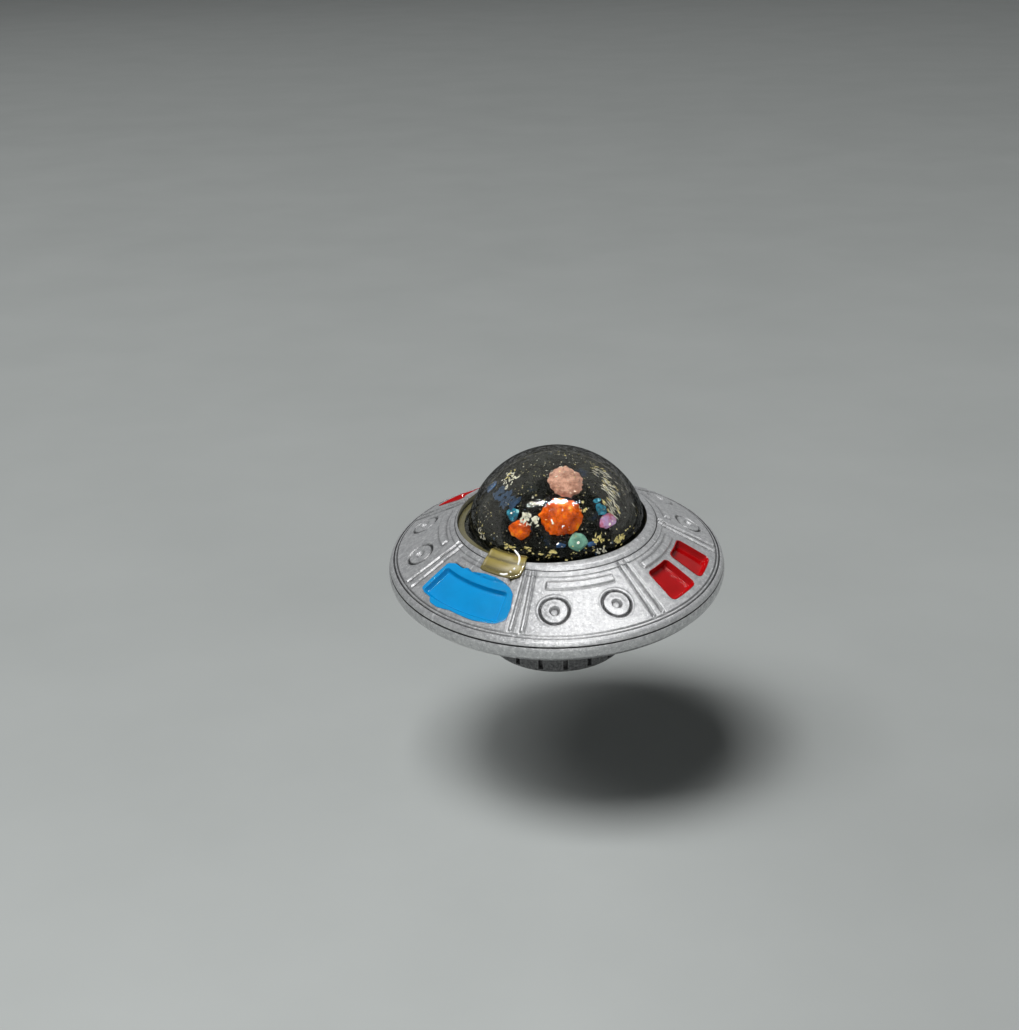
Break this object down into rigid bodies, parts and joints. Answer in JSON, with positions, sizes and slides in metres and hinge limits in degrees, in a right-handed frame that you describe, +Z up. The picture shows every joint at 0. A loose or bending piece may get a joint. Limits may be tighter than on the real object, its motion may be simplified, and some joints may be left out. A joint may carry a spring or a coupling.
{
  "type": "spinning top",
  "caption": "Saucer-shaped wind-up spinning top: silver ribbed disc with portholes and enamel panels, lift-off clear dome over a dark planet scene, slotted hub foot.",
  "frame": {"origin": "on the table under the spin axis, at the centre of the hub's flat bottom ring", "axes": "+Z up along the spin axis; -Y to the side of the saucer that the picture shows; +X to its right"},
  "size_m": [0.06, 0.06, 0.0371],
  "materials": {
    "silver_paint": "fine metal-flake silver paint, satin",
    "blue_enamel": "glossy blue enamel",
    "red_enamel": "glossy red enamel",
    "clear_canopy": "clear amber moulding, polished",
    "galaxy_black": "near-black resin with glitter, glossy",
    "orange_resin": "lumpy orange resin",
    "pink_resin": "dusty pink resin",
    "cyan_glass": "faceted cyan bead",
    "purple_glass": "faceted purple bead",
    "teal_glass": "faceted teal bead",
    "blue_glass": "dark blue chip",
    "gold_foil": "pale gold foil",
    "hub_grey": "grey metal-flake paint, satin",
    "zinc_steel": "zinc-plated screw",
    "bright_steel": "ground bright steel",
    "spring_steel": "blued spring steel",
    "weight_steel": "plain turned steel",
    "brass": "drawn brass",
    "arbor_acetal": "natural acetal"
  },
  "bodies": {
    "foot": {"grip_hub": "hub_grey", "hub_screw": "zinc_steel", "spindle": "bright_steel", "pivot_ball": "bright_steel", "retaining_clip": "spring_steel"},
    "saucer": {"upper_shell": "silver_paint", "lower_shell": "silver_paint", "blue_panel": "blue_enamel", "red_panel_1": "red_enamel", "red_panel_2": "red_enamel", "red_panel_3": "red_enamel", "red_panel_4": "red_enamel", "red_panel_5": "red_enamel", "red_panel_6": "red_enamel", "galaxy_core": "galaxy_black", "orange_planet_large": "orange_resin", "orange_planet_small": "orange_resin", "pink_moon": "pink_resin", "cyan_beads": "cyan_glass", "purple_bead": "purple_glass", "teal_bead": "teal_glass", "blue_chips": "blue_glass", "glitter_flakes": "gold_foil", "lower_bush": "brass", "pivot_cup": "brass", "flywheel_ring": "weight_steel", "spring_barrel": "brass", "barrel_cover": "brass", "mainspring": "spring_steel", "cover_screws": "zinc_steel", "shell_screws": "zinc_steel"},
    "arbor": {"spring_arbor": "arbor_acetal", "clutch_spring": "spring_steel"},
    "canopy": {"canopy": "clear_canopy"}
  },
  "joints": [
    {"name": "saucer_spin", "type": "hinge", "parent": "foot", "child": "saucer", "pos_m": [0, 0, 0.005], "axis": [0, 0, 1], "continuous": true},
    {"name": "arbor_wind", "type": "hinge", "parent": "saucer", "child": "arbor", "pos_m": [0, 0, 0.011], "axis": [0, 0, 1], "range_deg": [-1080, 0], "deforming": ["mainspring"]},
    {"name": "canopy_lift", "type": "slide", "parent": "saucer", "child": "canopy", "axis": [0, 0, 1], "range_m": [0, 0.02]}
  ]
}
